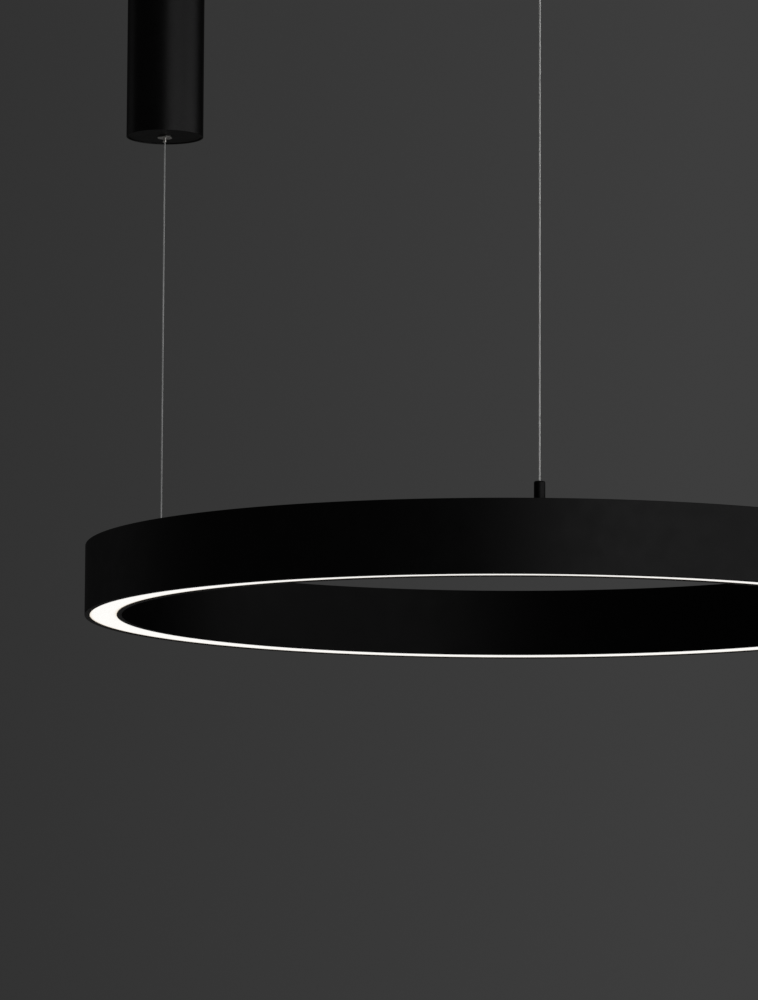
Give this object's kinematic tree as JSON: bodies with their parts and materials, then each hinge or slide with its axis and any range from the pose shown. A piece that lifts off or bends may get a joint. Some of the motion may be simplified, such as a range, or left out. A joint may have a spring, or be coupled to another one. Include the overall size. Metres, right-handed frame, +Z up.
{
  "type": "led ring pendant light",
  "caption": "Round LED ring pendant hung on thin steel wires from a cylindrical ceiling driver canopy and small ceiling fittings, with an opal diffuser facing down.",
  "frame": {"origin": "on the ceiling plane, on the ring's vertical axis, in the middle of the three ceiling screw holes", "axes": "+Z up, out of the ceiling face; the viewer stands at -Y with the nearest wire at -Y; +X to the viewer's right"},
  "size_m": [0.8, 0.8, 0.695],
  "materials": {
    "black_coat": "satin matte black coat on aluminium",
    "opal": "opal, lit warm white",
    "wire_steel": "stranded steel",
    "wire_sheath": "smooth grey sheath",
    "nickel": "satin dark nickel plate",
    "jaw_brass": "machined",
    "spring_steel": "drawn wire",
    "zinc_steel": "zinc plated",
    "black_steel": "black oxide",
    "board_white": "white solder mask",
    "led_phosphor": "yellow phosphor",
    "driver_plastic": "fine grain",
    "terminal_plastic": "plain moulded"
  },
  "bodies": {
    "ceiling_fittings": {"canopy_plate": "zinc_steel", "canopy_tube": "black_coat", "canopy_cap": "black_coat", "canopy_grubs": "black_steel", "led_driver": "driver_plastic", "driver_bracket": "zinc_steel", "mains_terminal": "terminal_plastic", "cup_bases": "zinc_steel", "cup_shells": "black_coat", "gripper_bodies": "nickel"},
    "ring": {"ring_profile": "black_coat", "diffuser": "opal", "led_boards": "board_white", "led_chips": "led_phosphor", "feed_terminal": "terminal_plastic", "barrels": "black_coat", "barrel_nuts": "zinc_steel", "wire_stops": "zinc_steel", "wire_a": "wire_steel", "wire_b": "wire_sheath", "wire_c": "wire_steel"},
    "plunger_a": {"gripper_plunger_a": "nickel", "gripper_jaws_a": "jaw_brass", "gripper_spring_a": "spring_steel"},
    "plunger_b": {"gripper_plunger_b": "nickel", "gripper_jaws_b": "jaw_brass", "gripper_spring_b": "spring_steel"},
    "plunger_c": {"gripper_plunger_c": "nickel", "gripper_jaws_c": "jaw_brass", "gripper_spring_c": "spring_steel"}
  },
  "joints": [
    {"name": "height_adjust", "type": "slide", "parent": "ceiling_fittings", "child": "ring", "axis": [0, 0, 1], "range_m": [-0.02, 0.02]},
    {"name": "release_a", "type": "slide", "parent": "ceiling_fittings", "child": "plunger_a", "axis": [0, 0, 1], "range_m": [0, 0.0025], "stiffness_N_per_m": 600, "springref_m": -0.002, "deforming": ["gripper_spring_a"]},
    {"name": "release_b", "type": "slide", "parent": "ceiling_fittings", "child": "plunger_b", "axis": [0, 0, 1], "range_m": [0, 0.0025], "stiffness_N_per_m": 600, "springref_m": -0.002, "deforming": ["gripper_spring_b"]},
    {"name": "release_c", "type": "slide", "parent": "ceiling_fittings", "child": "plunger_c", "axis": [0, 0, 1], "range_m": [0, 0.0025], "stiffness_N_per_m": 600, "springref_m": -0.002, "deforming": ["gripper_spring_c"]}
  ]
}
